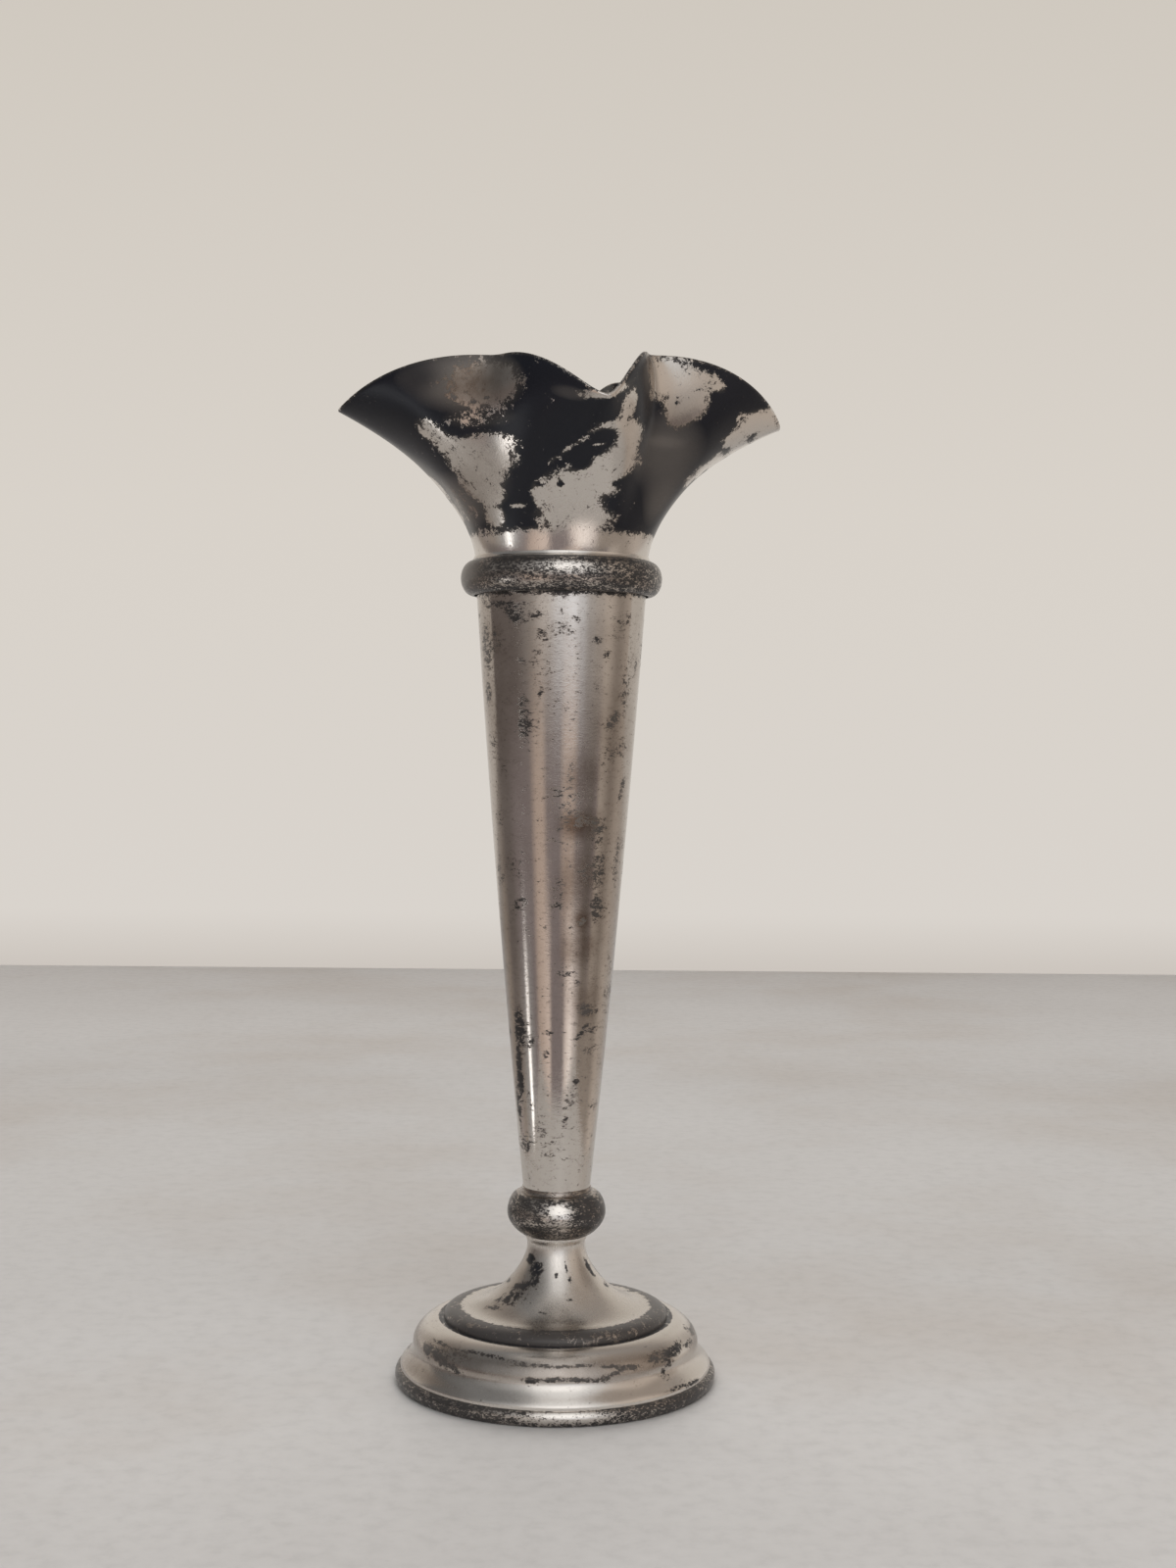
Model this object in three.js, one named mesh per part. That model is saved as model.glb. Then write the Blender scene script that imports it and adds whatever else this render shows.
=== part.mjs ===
// A bud vase of silver-plated sheet: lobed mouth, collar, tapering tube, knop and a two-tier loaded foot.
// Millimetres, +Z up. The origin is on the vase's axis at the level it stands on, and -Y is its front.

import * as THREE from 'three';
import { ParametricGeometry } from 'three/addons/geometries/ParametricGeometry.js';

// Foot wire: the half-round bead that the vase stands on
const WIRE_RADIUS = 32;
const WIRE_HEIGHT = 3;
const WIRE_WIDTH = 2.4;
const WIRE_BULGE = 1;

// Base plate and loading, inside the foot
const PLATE_THICKNESS = 0.8;
const PLATE_RECESS = 0.8;
const LOADING_GAP = 0.3;

// Foot dome: the lower tier, a cove below and a round shoulder above, with a level seat on top
const DOME_RISE = 9.6;
const DOME_SKIRT = 0.4;
const DOME_WAIST_RADIUS = 28.5;
const DOME_WAIST_HEIGHT = 4.6;
const DOME_LEDGE = 0.7;
const DOME_SEAT_WIDTH = 3.8;

// Foot cone: the upper tier, a low round edge that sweeps up into a narrow neck
const CONE_RADIUS = 22.3;
const CONE_RISE = 16.4;
const CONE_EDGE = 0.4;
const CONE_BROW_RADIUS = 18.4;
const CONE_BROW_HEIGHT = 2.1;
const CONE_NECK_RADIUS = 5.75;
const CONE_NECK_HEIGHT = 14.6;
const CONE_TOP_RADIUS = 6.2;
const CONE_SWEEP = 0.4;
const FOOT_WALL = 0.7;

// Knop: a turned ball with a small cove above it and a spigot at each end
const KNOP_RADIUS = 9.85;
const KNOP_BALL_HEIGHT = 8.6;
const KNOP_WIDEST_HEIGHT = 4.6;
const KNOP_LOWER_LEDGE = 0.2;
const KNOP_UNDERSIDE_RISE = 0.5;
const KNOP_UPPER_RADIUS = 7.7;
const KNOP_COVE_RISE = 1;
const KNOP_UPPER_LEDGE = 0.18;
const LOWER_SPIGOT_LENGTH = 4;
const UPPER_SPIGOT_LENGTH = 3;

// Tube: a long taper with a slight outward swell
const TUBE_LENGTH = 121.2;
const TUBE_FOOT_RADIUS = 6.72;
const TUBE_TOP_RADIUS = 17.05;
const TUBE_SWELL = 0.55;
const TUBE_WALL = 0.8;

// Collar: a half-round ring centred on the joint of tube and mouth
const COLLAR_THICKNESS = 2.65;
const COLLAR_HEIGHT = 6.8;
const COLLAR_LIP = 0.25;

// Mouth: a sleeve in the tube, a plain neck, then a flare to four lobes and four pinches worked by hand.
// Each turn is in degrees round the axis from the front. Reach is out from the axis, rise up from the neck.
const MOUTH_WALL = 0.8;
const SLEEVE_LENGTH = 7;
const NECK_RISE = 3.2;
const FLARE_START_OUT = 1.2;
const FLARE_START_UP = 12;
const LOBE_BEND_OUT = 12;
const LOBE_BEND_UP = 21.2;
const PINCH_BEND_OUT = 6.5;
const PINCH_BEND_UP = 23.4;
const LIP_CROWN = 0.25;
const RIM_WAVE_RATIO = 0.97;
const NECK_WAVE_RATIO = 0.1;
const RIM_DROP_POWER = 2.4;
const LEFT_LOBE_REACH = 44.6;
const LEFT_LOBE_RISE = 28.9;
const FRONT_LEFT_PINCH_REACH = 26.4;
const FRONT_LEFT_PINCH_RISE = 37.3;
const FRONT_LOBE_REACH = 36.5;
const FRONT_LOBE_RISE = 27.8;
const FRONT_RIGHT_PINCH_REACH = 23.9;
const FRONT_RIGHT_PINCH_RISE = 38.7;
const RIGHT_LOBE_REACH = 44.5;
const RIGHT_LOBE_RISE = 27.8;
const BACK_RIGHT_PINCH_REACH = 21.5;
const BACK_RIGHT_PINCH_RISE = 39.2;
const BACK_LOBE_REACH = 36.2;
const BACK_LOBE_RISE = 27;
const BACK_LEFT_PINCH_REACH = 24;
const BACK_LEFT_PINCH_RISE = 38;
const RIM = [
  { kind: 'lobe', turn: -81.9, reach: LEFT_LOBE_REACH, rise: LEFT_LOBE_RISE },
  { kind: 'pinch', turn: -28, reach: FRONT_LEFT_PINCH_REACH, rise: FRONT_LEFT_PINCH_RISE },
  { kind: 'lobe', turn: 13.9, reach: FRONT_LOBE_REACH, rise: FRONT_LOBE_RISE },
  { kind: 'pinch', turn: 44.9, reach: FRONT_RIGHT_PINCH_REACH, rise: FRONT_RIGHT_PINCH_RISE },
  { kind: 'lobe', turn: 99.3, reach: RIGHT_LOBE_REACH, rise: RIGHT_LOBE_RISE },
  { kind: 'pinch', turn: 148, reach: BACK_RIGHT_PINCH_REACH, rise: BACK_RIGHT_PINCH_RISE },
  { kind: 'lobe', turn: 191, reach: BACK_LOBE_REACH, rise: BACK_LOBE_RISE },
  { kind: 'pinch', turn: 233, reach: BACK_LEFT_PINCH_REACH, rise: BACK_LEFT_PINCH_RISE },
];

// Solder gap between a spigot, sleeve or ring and the piece it goes into or round
const FIT_GAP = 0.3;

// Fineness of the meshes
const ROUND_STEPS = 36;
const MOUTH_STEPS = 72;
const FLARE_STEPS = 10;
const CURVE_STEPS = 5;
const TUBE_STEPS = 8;
const WIRE_STEPS = 3;

// Levels at which the pieces meet, from the ground up
const domeLevel = WIRE_HEIGHT;
const coneLevel = domeLevel + DOME_RISE;
const knopLevel = coneLevel + CONE_RISE;
const tubeLevel = knopLevel + KNOP_BALL_HEIGHT + KNOP_COVE_RISE;
const mouthLevel = tubeLevel + TUBE_LENGTH;
const flareLevel = mouthLevel + NECK_RISE;
const wireInnerRadius = WIRE_RADIUS - WIRE_WIDTH;
const plateTop = PLATE_RECESS + PLATE_THICKNESS;

const silver = { metalness: 0.9, roughness: 0.3 };

function makeMesh(name, geometry, look) {
  const mesh = new THREE.Mesh(geometry, new THREE.MeshStandardMaterial(look));
  mesh.name = name;
  return mesh;
}

// Turns an outline of (radius, height) points, anticlockwise, into a round body about +Z
function turnedMesh(name, outline, look) {
  const geometry = new THREE.LatheGeometry(outline, ROUND_STEPS);
  geometry.rotateX(Math.PI / 2);
  return makeMesh(name, geometry, look);
}

// The points of a curve moved inwards, to its left hand side, by a distance. Its ends are cut square.
function insetPoints(points, distance) {
  const last = points.length - 1;
  return points.map((point, index) => {
    const before = points[Math.max(index - 1, 0)];
    const after = points[Math.min(index + 1, last)];
    const along = after.clone().sub(before).normalize();
    if (index === 0 || index === last) along.round();
    return new THREE.Vector2(point.x - distance * along.y, point.y + distance * along.x);
  });
}

// The outline of a sheet whose outer face follows the points from bottom to top
function sheetOutline(points, wall) {
  const outline = [...points, ...insetPoints(points, wall).reverse()];
  outline.push(points[0].clone());
  return outline;
}

function footWire() {
  const outline = new THREE.Path();
  const middle = WIRE_HEIGHT / 2;
  outline.moveTo(wireInnerRadius, 0);
  outline.lineTo(WIRE_RADIUS - WIRE_BULGE, 0);
  outline.absellipse(WIRE_RADIUS - WIRE_BULGE, middle, WIRE_BULGE, middle, -Math.PI / 2, Math.PI / 2);
  outline.lineTo(wireInnerRadius, WIRE_HEIGHT);
  outline.lineTo(wireInnerRadius, 0);
  return turnedMesh('foot_wire', outline.getPoints(WIRE_STEPS), { ...silver, color: 0x6f6a66 });
}

function basePlate() {
  const radius = wireInnerRadius - FIT_GAP;
  const geometry = new THREE.CylinderGeometry(radius, radius, PLATE_THICKNESS, ROUND_STEPS);
  geometry.rotateX(Math.PI / 2);
  const mesh = makeMesh('base_plate', geometry, { ...silver, color: 0x8c877f });
  mesh.position.z = PLATE_RECESS + PLATE_THICKNESS / 2;
  return mesh;
}

// Outer face of the lower tier, from its skirt up the cove and over the shoulder to its hole
function domeFace() {
  const face = new THREE.Path();
  const skirtRadius = WIRE_RADIUS - WIRE_BULGE;
  const skirtTop = domeLevel + DOME_SKIRT;
  const waist = domeLevel + DOME_WAIST_HEIGHT;
  const coveRise = (waist - skirtTop) / 2;
  const shoulderRadius = CONE_RADIUS + DOME_LEDGE;
  const shoulderRise = (coneLevel - waist) / 2;
  const shoulderIn = (DOME_WAIST_RADIUS - shoulderRadius) / 2;
  face.moveTo(skirtRadius, domeLevel);
  face.lineTo(skirtRadius, skirtTop);
  face.bezierCurveTo(
    skirtRadius, skirtTop + coveRise / 2,
    DOME_WAIST_RADIUS, waist - coveRise,
    DOME_WAIST_RADIUS, waist,
  );
  face.bezierCurveTo(
    DOME_WAIST_RADIUS, waist + shoulderRise,
    shoulderRadius + shoulderIn, coneLevel,
    shoulderRadius, coneLevel,
  );
  face.lineTo(CONE_RADIUS - DOME_SEAT_WIDTH, coneLevel);
  return face.getPoints(CURVE_STEPS);
}

function footDome() {
  return turnedMesh('foot_dome', sheetOutline(domeFace(), FOOT_WALL), { ...silver, color: 0xb3aaa1 });
}

// Outer face of the upper tier, from its edge over the brow and up the sweep to the top of its neck
function coneFace() {
  const face = new THREE.Path();
  const edgeTop = coneLevel + CONE_EDGE;
  const brow = coneLevel + CONE_BROW_HEIGHT;
  const neck = coneLevel + CONE_NECK_HEIGHT;
  const sweepIn = CONE_SWEEP * (CONE_BROW_RADIUS - CONE_NECK_RADIUS);
  const sweepUp = CONE_SWEEP * (neck - brow);
  const lipRise = (knopLevel - neck) / 2;
  face.moveTo(CONE_RADIUS, coneLevel);
  face.lineTo(CONE_RADIUS, edgeTop);
  face.quadraticCurveTo(CONE_RADIUS, brow, CONE_BROW_RADIUS, brow);
  face.bezierCurveTo(
    CONE_BROW_RADIUS - sweepIn, brow,
    CONE_NECK_RADIUS, neck - sweepUp,
    CONE_NECK_RADIUS, neck,
  );
  face.bezierCurveTo(
    CONE_NECK_RADIUS, neck + lipRise,
    CONE_TOP_RADIUS, knopLevel - lipRise,
    CONE_TOP_RADIUS, knopLevel,
  );
  return face.getPoints(CURVE_STEPS);
}

function footCone() {
  return turnedMesh('foot_cone', sheetOutline(coneFace(), FOOT_WALL), { ...silver, color: 0xb9b0a6 });
}

// The loading lies on the base plate and fills the dome, a gap inside the sheet
function loading() {
  const edge = wireInnerRadius - FIT_GAP;
  const inside = insetPoints(domeFace(), FOOT_WALL + LOADING_GAP);
  const ceiling = coneLevel - FOOT_WALL - LOADING_GAP;
  const outline = [new THREE.Vector2(0, plateTop), new THREE.Vector2(edge, plateTop)];
  for (const point of inside) {
    outline.push(new THREE.Vector2(Math.min(point.x, edge), Math.min(point.y, ceiling)));
  }
  outline.push(new THREE.Vector2(0, ceiling));
  return turnedMesh('loading', outline, { color: 0x3b352e, metalness: 0, roughness: 0.9 });
}

function knop() {
  const lowerSpigotRadius = CONE_NECK_RADIUS - FOOT_WALL - FIT_GAP;
  const upperSpigotRadius = TUBE_FOOT_RADIUS - TUBE_WALL - FIT_GAP;
  const widest = knopLevel + KNOP_WIDEST_HEIGHT;
  const ballTop = knopLevel + KNOP_BALL_HEIGHT;
  const lowerRadius = CONE_TOP_RADIUS + KNOP_LOWER_LEDGE;
  const topRadius = TUBE_FOOT_RADIUS + KNOP_UPPER_LEDGE;
  const lowerOut = (KNOP_RADIUS - lowerRadius) / 3;
  const upperOut = (KNOP_RADIUS - KNOP_UPPER_RADIUS) / 2;
  const outline = new THREE.Path();
  outline.moveTo(0, knopLevel - LOWER_SPIGOT_LENGTH);
  outline.lineTo(lowerSpigotRadius, knopLevel - LOWER_SPIGOT_LENGTH);
  outline.lineTo(lowerSpigotRadius, knopLevel);
  outline.lineTo(lowerRadius, knopLevel);
  outline.bezierCurveTo(
    lowerRadius + lowerOut, knopLevel + KNOP_UNDERSIDE_RISE,
    KNOP_RADIUS, (knopLevel + widest) / 2,
    KNOP_RADIUS, widest,
  );
  outline.bezierCurveTo(
    KNOP_RADIUS, (widest + ballTop) / 2,
    KNOP_UPPER_RADIUS + upperOut, ballTop,
    KNOP_UPPER_RADIUS, ballTop,
  );
  outline.quadraticCurveTo(topRadius, ballTop, topRadius, tubeLevel);
  outline.lineTo(upperSpigotRadius, tubeLevel);
  outline.lineTo(upperSpigotRadius, tubeLevel + UPPER_SPIGOT_LENGTH);
  outline.lineTo(0, tubeLevel + UPPER_SPIGOT_LENGTH);
  return turnedMesh('knop', outline.getPoints(CURVE_STEPS), { ...silver, color: 0x77716c });
}

// Outer radius of the tube at a share of its length, 0 at the knop and 1 at the mouth
function tubeRadius(share) {
  const taper = TUBE_FOOT_RADIUS + share * (TUBE_TOP_RADIUS - TUBE_FOOT_RADIUS);
  return taper + 4 * TUBE_SWELL * share * (1 - share);
}

function tube() {
  const outer = [];
  for (let step = 0; step <= TUBE_STEPS; step += 1) {
    const share = step / TUBE_STEPS;
    outer.push(new THREE.Vector2(tubeRadius(share), tubeLevel + share * TUBE_LENGTH));
  }
  const inner = outer.map((point) => new THREE.Vector2(point.x - TUBE_WALL, point.y));
  const outline = [...outer, ...inner.reverse(), outer[0].clone()];
  return turnedMesh('tube', outline, { ...silver, color: 0xa79c95 });
}

function collar() {
  const outline = new THREE.Path();
  const bore = TUBE_TOP_RADIUS + FIT_GAP;
  const half = COLLAR_HEIGHT / 2;
  const roundFrom = bore + COLLAR_LIP;
  const roundOut = COLLAR_THICKNESS - COLLAR_LIP;
  outline.moveTo(bore, mouthLevel - half);
  outline.lineTo(roundFrom, mouthLevel - half);
  outline.absellipse(roundFrom, mouthLevel, roundOut, half, -Math.PI / 2, Math.PI / 2);
  outline.lineTo(bore, mouthLevel + half);
  outline.lineTo(bore, mouthLevel - half);
  return turnedMesh('collar', outline.getPoints(CURVE_STEPS), { ...silver, color: 0x5e5a58 });
}

// The rim over a turn in degrees: its reach, its rise, and how far it is from pinch (0) to lobe (1).
// The reach runs between them as a rounded triangle wave at the rim itself and as a soft wave near the neck,
// where up is 0. The rise drops late.
function rimAt(turn, up) {
  const first = RIM[0].turn;
  const wrapped = first + THREE.MathUtils.euclideanModulo(turn - first, 360);
  let index = RIM.length - 1;
  while (RIM[index].turn > wrapped) index -= 1;
  const from = RIM[index];
  const next = RIM[(index + 1) % RIM.length];
  const nextTurn = index + 1 < RIM.length ? next.turn : next.turn + 360;
  const share = (wrapped - from.turn) / (nextTurn - from.turn);
  const [lobe, pinch, away] = from.kind === 'lobe' ? [from, next, share] : [next, from, 1 - share];
  const ratio = THREE.MathUtils.lerp(NECK_WAVE_RATIO, RIM_WAVE_RATIO, up ** 3);
  const wave = Math.asin(ratio * Math.cos(Math.PI * away)) / Math.asin(ratio);
  const lobeShare = (1 + wave) / 2;
  return {
    reach: pinch.reach + lobeShare * (lobe.reach - pinch.reach),
    rise: pinch.rise + Math.pow(Math.max(lobeShare, 0), RIM_DROP_POWER) * (lobe.rise - pinch.rise),
    lobeShare,
  };
}

// A point at a radius and height, a turn in degrees round the axis from the front
function pointAt(turn, radius, height) {
  const angle = THREE.MathUtils.degToRad(turn);
  return new THREE.Vector3(radius * Math.sin(angle), -radius * Math.cos(angle), height);
}

// A point on the flare's outer face: up is 0 at the neck and 1 at the rim
function flarePoint(turn, up) {
  const rim = rimAt(turn, up);
  const bendOut = THREE.MathUtils.lerp(
    rim.reach + PINCH_BEND_OUT, TUBE_TOP_RADIUS + LOBE_BEND_OUT, rim.lobeShare,
  );
  const bendUp = THREE.MathUtils.lerp(PINCH_BEND_UP, LOBE_BEND_UP, rim.lobeShare);
  const profile = new THREE.CubicBezierCurve(
    new THREE.Vector2(TUBE_TOP_RADIUS, flareLevel),
    new THREE.Vector2(TUBE_TOP_RADIUS + FLARE_START_OUT, flareLevel + FLARE_START_UP),
    new THREE.Vector2(bendOut, flareLevel + bendUp),
    new THREE.Vector2(rim.reach, flareLevel + rim.rise),
  );
  const point = profile.getPoint(up);
  return pointAt(turn, point.x, point.y);
}

// The flare's outward normal, from points a little to each side
function flareNormal(turn, up) {
  const nudge = 0.5;
  const small = 0.01;
  const around = flarePoint(turn + nudge, up).sub(flarePoint(turn - nudge, up));
  const along = flarePoint(turn, Math.min(up + small, 1)).sub(flarePoint(turn, Math.max(up - small, 0)));
  return around.cross(along).normalize();
}

function mouth() {
  const sleeveShare = 1 - SLEEVE_LENGTH / TUBE_LENGTH;
  const sleeveOuter = tubeRadius(sleeveShare) - TUBE_WALL - FIT_GAP;
  const sleeveInner = sleeveOuter - MOUTH_WALL;
  const sleeveFoot = mouthLevel - SLEEVE_LENGTH;
  const rings = [(turn) => pointAt(turn, TUBE_TOP_RADIUS, mouthLevel)];
  for (let step = 0; step <= FLARE_STEPS; step += 1) {
    rings.push((turn) => flarePoint(turn, step / FLARE_STEPS));
  }
  rings.push((turn) => {
    const lipMiddle = flarePoint(turn, 1).addScaledVector(flareNormal(turn, 1), -MOUTH_WALL / 2);
    const onward = flarePoint(turn, 1).sub(flarePoint(turn, 1 - 1 / FLARE_STEPS)).normalize();
    return lipMiddle.addScaledVector(onward, LIP_CROWN);
  });
  for (let step = FLARE_STEPS; step >= 0; step -= 1) {
    const up = step / FLARE_STEPS;
    rings.push((turn) => flarePoint(turn, up).addScaledVector(flareNormal(turn, up), -MOUTH_WALL));
  }
  rings.push((turn) => pointAt(turn, sleeveInner, mouthLevel));
  rings.push((turn) => pointAt(turn, sleeveInner, sleeveFoot));
  rings.push((turn) => pointAt(turn, sleeveOuter, sleeveFoot));
  rings.push((turn) => pointAt(turn, sleeveOuter, mouthLevel));
  const surface = (around, loop, target) => {
    const ring = rings[Math.round(loop * rings.length) % rings.length];
    target.copy(ring((around % 1) * 360));
  };
  const geometry = new ParametricGeometry(surface, MOUTH_STEPS, rings.length);
  return makeMesh('mouth', geometry, { ...silver, color: 0x3a3b3d });
}

const vase = new THREE.Group();
vase.add(footWire(), basePlate(), loading(), footDome(), footCone(), knop(), tube(), collar(), mouth());

export default vase;
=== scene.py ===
import math

import bpy
import numpy as np
from mathutils import Matrix


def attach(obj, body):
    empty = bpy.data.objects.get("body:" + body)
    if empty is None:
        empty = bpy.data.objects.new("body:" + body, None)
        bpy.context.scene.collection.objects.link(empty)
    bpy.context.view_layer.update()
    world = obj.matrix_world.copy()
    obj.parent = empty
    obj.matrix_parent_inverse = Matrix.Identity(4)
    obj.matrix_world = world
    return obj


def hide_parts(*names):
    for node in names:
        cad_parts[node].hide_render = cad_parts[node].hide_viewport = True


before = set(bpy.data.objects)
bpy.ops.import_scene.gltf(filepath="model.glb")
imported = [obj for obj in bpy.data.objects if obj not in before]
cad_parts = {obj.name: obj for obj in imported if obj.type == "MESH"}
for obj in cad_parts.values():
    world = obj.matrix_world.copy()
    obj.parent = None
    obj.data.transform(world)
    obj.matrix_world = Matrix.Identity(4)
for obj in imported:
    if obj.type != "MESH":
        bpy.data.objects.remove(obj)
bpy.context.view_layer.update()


# Camera: in front of the vase at a little over half its height, looking slightly down.
# It is rolled by half a degree, because the vase leans by that much in the picture.
mm = 0.001
picture_height = 1600
focal_length = 2154
camera_place = (5.61 * mm, -421 * mm, 129.2 * mm)
camera_pitch = math.radians(1.3717)
camera_roll = math.radians(0.48)
camera_data = bpy.data.cameras.new("camera")
camera_data.lens = camera_data.sensor_width * focal_length / picture_height
camera = bpy.data.objects.new("camera", camera_data)
bpy.context.scene.collection.objects.link(camera)
camera.matrix_world = (
    Matrix.Translation(camera_place)
    @ Matrix.Rotation(math.pi / 2 - camera_pitch, 4, "X")
    @ Matrix.Rotation(camera_roll, 4, "Z")
)
bpy.context.scene.camera = camera
bpy.context.scene.view_settings.view_transform = "Standard"


# Floor: a pale stone slab, faintly mottled, a little darker behind the vase in painted shade and paler at the
# wall in painted light.
# Seen in the metal it ends at its front and side edges, and the dim room beyond them shows in the tube.
floor_reach = 2.5
floor_back = 730 * mm
floor_front_edge = -155 * mm
floor_side_edge = 140 * mm
painted_light_start = -100 * mm


def node_adder(tree):
    """A function that adds a node to the tree, with its settings, values and links."""

    def add(kind, inputs=None, **settings):
        node = tree.nodes.new(kind)
        for key, value in settings.items():
            setattr(node, key, value)
        for key, value in (inputs or {}).items():
            if isinstance(value, bpy.types.NodeSocket):
                tree.links.new(value, node.inputs[key])
            else:
                node.inputs[key].default_value = value
        return node

    return add


def new_material(name):
    """An empty node material, and the function that adds nodes to it."""
    material = bpy.data.materials.new(name)
    material.use_nodes = True
    material.node_tree.nodes.clear()
    return material, node_adder(material.node_tree)


def calc(add, operation, *values, **settings):
    """The result of one step of arithmetic."""
    return add("ShaderNodeMath", dict(enumerate(values)), operation=operation, **settings).outputs[0]


def mixed(add, share, first, second, **settings):
    """A colour between two others, or their product where the settings ask for it."""
    return add("ShaderNodeMix", {0: share, 6: first, 7: second}, data_type="RGBA", **settings).outputs[2]


def ramp(add, value, stops, interpolation="LINEAR"):
    """A colour ramp through (position, colour) stops. A single number stands for a grey."""
    node = add("ShaderNodeValToRGB", {"Fac": value})
    band = node.color_ramp
    band.interpolation = interpolation
    while len(band.elements) < len(stops):
        band.elements.new(1)
    for element, (position, colour) in zip(band.elements, stops):
        element.position = position
        shade = colour if isinstance(colour, tuple) else (colour, colour, colour)
        element.color = (*shade, 1)
    return node.outputs["Color"]


def stage_sheet(name, corners, material):
    """A flat four-cornered sheet that belongs to the setting and not to the vase."""
    mesh = bpy.data.meshes.new(name)
    mesh.from_pydata(corners, [], [(0, 1, 2, 3)])
    mesh.materials.append(material)
    sheet = bpy.data.objects.new(name, mesh)
    bpy.context.scene.collection.objects.link(sheet)


floor_stone, add = new_material("floor_stone")
place = add("ShaderNodeTexCoord").outputs["Object"]
clouds = add("ShaderNodeTexNoise", {"Vector": place, "Scale": 5, "Detail": 6, "Roughness": 0.62})
grain = add("ShaderNodeTexNoise", {"Vector": place, "Scale": 240, "Detail": 3, "Roughness": 0.6})
stain = ramp(add, clouds.outputs["Fac"], [
    (0.34, (0.52, 0.49, 0.465)), (0.52, (0.58, 0.57, 0.563)), (0.7, (0.61, 0.602, 0.597))])
fleck = ramp(add, grain.outputs["Fac"], [(0.3, 0.93), (0.5, 1.0), (0.75, 1.04)])
stone = mixed(add, 1.0, stain, fleck, blend_type="MULTIPLY")
spot = add("ShaderNodeSeparateXYZ", {"Vector": place})
depth = calc(add, "SUBTRACT", spot.outputs["Y"], painted_light_start)
# painted shade and light across the slab: darker behind the vase, lighter towards the wall
painted_shade_and_light = ramp(add, depth, [(0.05, 1.0), (0.1, 0.96), (0.18, 0.87), (0.47, 0.86), (0.63, 1.04), (0.76, 1.18)])
stone = mixed(add, 1.0, stone, painted_shade_and_light, blend_type="MULTIPLY")
slab = add("ShaderNodeBsdfPrincipled", {"Base Color": stone, "Roughness": 0.55})
ray = add("ShaderNodeLightPath")
past_side = calc(add, "GREATER_THAN", calc(add, "ABSOLUTE", spot.outputs["X"]), floor_side_edge)
past_front = calc(add, "LESS_THAN", spot.outputs["Y"], floor_front_edge)
past_edge = calc(add, "MAXIMUM", past_side, past_front)
open_room = calc(add, "MULTIPLY", past_edge, ray.outputs["Is Glossy Ray"])
clear = add("ShaderNodeBsdfTransparent")
shown = add("ShaderNodeMixShader", {0: open_room, 1: slab.outputs[0], 2: clear.outputs[0]})
add("ShaderNodeOutputMaterial", {"Surface": shown.outputs[0]})
stage_sheet("floor", [(-floor_reach, -floor_reach, 0), (floor_reach, -floor_reach, 0),
                      (floor_reach, floor_back, 0), (-floor_reach, floor_back, 0)], floor_stone)


# Wall: plain pale plaster behind the slab, with painted shade in a thin band at the floor and towards its
# top.
# In the picture and in the metal it glows with this painted tone, whatever light falls on it.
wall_half_width = 1.8
wall_height = 1.6
wall_plaster, add = new_material("wall_plaster")
place = add("ShaderNodeTexCoord").outputs["Object"]
height = add("ShaderNodeSeparateXYZ", {"Vector": place}).outputs["Z"]
# painted shade: darker in a thin band at the floor and towards the top
tone = ramp(add, height, [
    (0.0, (0.60, 0.555, 0.51)), (0.03, (0.695, 0.655, 0.61)), (0.25, (0.69, 0.645, 0.59)),
    (0.55, (0.625, 0.58, 0.52)), (0.75, (0.45, 0.4, 0.36)), (1.0, (0.32, 0.29, 0.265))])
ray = add("ShaderNodeLightPath")
seen = calc(add, "MAXIMUM", ray.outputs["Is Camera Ray"], ray.outputs["Is Glossy Ray"])
seen = calc(add, "MAXIMUM", seen, ray.outputs["Is Transmission Ray"])
# the wall glows with its painted tone for the camera and in reflections
glow = add("ShaderNodeEmission", {"Color": tone})
chalk = add("ShaderNodeBsdfDiffuse", {"Color": tone})
shown = add("ShaderNodeMixShader", {0: seen, 1: chalk.outputs[0], 2: glow.outputs[0]})
add("ShaderNodeOutputMaterial", {"Surface": shown.outputs[0]})
stage_sheet("wall", [(-wall_half_width, floor_back, 0), (wall_half_width, floor_back, 0),
                     (wall_half_width, floor_back, wall_height), (-wall_half_width, floor_back, wall_height)],
            wall_plaster)


# Light: a soft window panel high behind the camera, and a wide panel high at the wall that throws the foot's
# shadow forwards. The room's uprights, left and right of the camera, are the stripes that the tube mirrors.
world = bpy.data.worlds.new("room")
bpy.context.scene.world = world
world.use_nodes = True
world.node_tree.nodes.clear()
add = node_adder(world.node_tree)


def by_bearing(stops):
    """Ramp stops from bearings in degrees, 0 towards the camera and positive to the right."""
    return [(0.5 + bearing / 360, colour) for bearing, colour in stops]


def blend(low, high, start, end):
    """One room colour below a ray's slope, another above it, with a soft change between."""
    share = add("ShaderNodeMapRange", {0: slope, 1: start, 2: end}, interpolation_type="SMOOTHSTEP")
    return mixed(add, share.outputs[0], low, high)


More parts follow.
